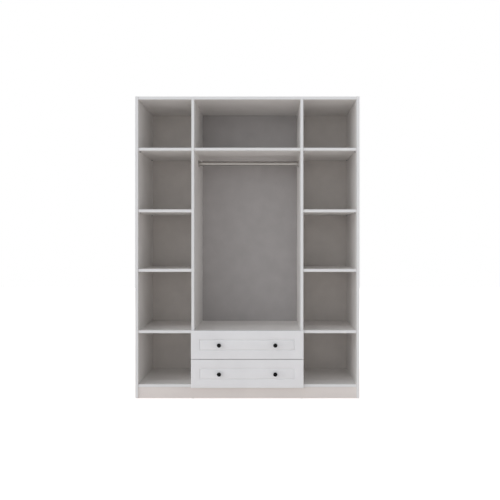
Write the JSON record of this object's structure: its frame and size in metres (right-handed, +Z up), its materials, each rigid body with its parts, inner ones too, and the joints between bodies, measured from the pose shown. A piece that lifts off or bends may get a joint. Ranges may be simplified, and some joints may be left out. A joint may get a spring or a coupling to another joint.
{
  "type": "open wardrobe",
  "caption": "Free-standing open-fronted wardrobe of white board with side shelves, a hat shelf, a hanging rail and drawers on ball-bearing runners.",
  "frame": {"origin": "on the floor, under the centre of the whole box", "axes": "+X to the right seen from the front, +Y towards the back so that the open front faces -Y, +Z up"},
  "size_m": [1.35, 0.514, 1.82],
  "materials": {
    "white_melamine": "satin",
    "white_foil_front": "satin",
    "white_hardboard": "satin",
    "black_knob": "gloss",
    "chrome_tube": "polished",
    "zinc_runner": "zinc plated",
    "zinc_casting": "cast",
    "plated_steel": "zinc plated",
    "white_plastic": "matte",
    "beech": "raw"
  },
  "bodies": {
    "carcass": {"side_left": "white_melamine", "side_right": "white_melamine", "top_panel": "white_melamine", "bottom_panel": "white_melamine", "divider_left": "white_melamine", "divider_right": "white_melamine", "hat_shelf": "white_melamine", "drawer_deck": "white_melamine", "left_shelf_lower": "white_melamine", "left_shelf_middle": "white_melamine", "left_shelf_upper": "white_melamine", "left_shelf_top": "white_melamine", "right_shelf_lower": "white_melamine", "right_shelf_middle": "white_melamine", "right_shelf_upper": "white_melamine", "right_shelf_top": "white_melamine", "plinth_front": "white_melamine", "plinth_rear": "white_melamine", "back_left": "white_hardboard", "back_centre": "white_hardboard", "back_right": "white_hardboard", "back_nails": "plated_steel", "floor_glides": "white_plastic", "shelf_pins": "zinc_casting", "cam_locks": "zinc_casting", "cam_bolts": "plated_steel", "wood_dowels": "beech", "corner_blocks": "white_plastic", "hanging_rail": "chrome_tube", "rail_socket_left": "chrome_tube", "rail_socket_right": "chrome_tube", "carcass_screws": "plated_steel", "upper_cabinet_runners": "zinc_runner", "lower_cabinet_runners": "zinc_runner"},
    "upper_drawer": {"upper_drawer_front": "white_foil_front", "upper_drawer_side_left": "white_melamine", "upper_drawer_side_right": "white_melamine", "upper_drawer_back": "white_melamine", "upper_drawer_bottom": "white_hardboard", "upper_drawer_knobs": "black_knob", "upper_drawer_cam_fittings": "zinc_casting", "upper_drawer_screws": "plated_steel", "upper_drawer_runners": "zinc_runner"},
    "lower_drawer": {"lower_drawer_front": "white_foil_front", "lower_drawer_side_left": "white_melamine", "lower_drawer_side_right": "white_melamine", "lower_drawer_back": "white_melamine", "lower_drawer_bottom": "white_hardboard", "lower_drawer_knobs": "black_knob", "lower_drawer_cam_fittings": "zinc_casting", "lower_drawer_screws": "plated_steel", "lower_drawer_runners": "zinc_runner"},
    "upper_middles": {"upper_middle_runners": "zinc_runner"},
    "lower_middles": {"lower_middle_runners": "zinc_runner"},
    "upper_outer_balls": {"upper_outer_cages": "plated_steel"},
    "upper_inner_balls": {"upper_inner_cages": "plated_steel"},
    "lower_outer_balls": {"lower_outer_cages": "plated_steel"},
    "lower_inner_balls": {"lower_inner_cages": "plated_steel"}
  },
  "joints": [
    {"name": "upper_drawer_slide", "type": "slide", "parent": "carcass", "child": "upper_drawer", "axis": [0, -1, 0], "range_m": [0, 0.38]},
    {"name": "lower_drawer_slide", "type": "slide", "parent": "carcass", "child": "lower_drawer", "axis": [0, -1, 0], "range_m": [0, 0.38]},
    {"name": "upper_middle_slide", "type": "slide", "parent": "carcass", "child": "upper_middles", "axis": [0, -1, 0], "range_m": [0, 0.19]},
    {"name": "lower_middle_slide", "type": "slide", "parent": "carcass", "child": "lower_middles", "axis": [0, -1, 0], "range_m": [0, 0.19]},
    {"name": "upper_outer_balls_slide", "type": "slide", "parent": "carcass", "child": "upper_outer_balls", "axis": [0, -1, 0], "range_m": [0, 0.095]},
    {"name": "upper_inner_balls_slide", "type": "slide", "parent": "carcass", "child": "upper_inner_balls", "axis": [0, -1, 0], "range_m": [0, 0.285]},
    {"name": "lower_outer_balls_slide", "type": "slide", "parent": "carcass", "child": "lower_outer_balls", "axis": [0, -1, 0], "range_m": [0, 0.095]},
    {"name": "lower_inner_balls_slide", "type": "slide", "parent": "carcass", "child": "lower_inner_balls", "axis": [0, -1, 0], "range_m": [0, 0.285]}
  ],
  "couplings": [
    {"joint": "upper_middle_slide", "follows": "upper_drawer_slide", "ratio": 0.5},
    {"joint": "upper_outer_balls_slide", "follows": "upper_drawer_slide", "ratio": 0.25},
    {"joint": "upper_inner_balls_slide", "follows": "upper_drawer_slide", "ratio": 0.75},
    {"joint": "lower_middle_slide", "follows": "lower_drawer_slide", "ratio": 0.5},
    {"joint": "lower_outer_balls_slide", "follows": "lower_drawer_slide", "ratio": 0.25},
    {"joint": "lower_inner_balls_slide", "follows": "lower_drawer_slide", "ratio": 0.75}
  ]
}
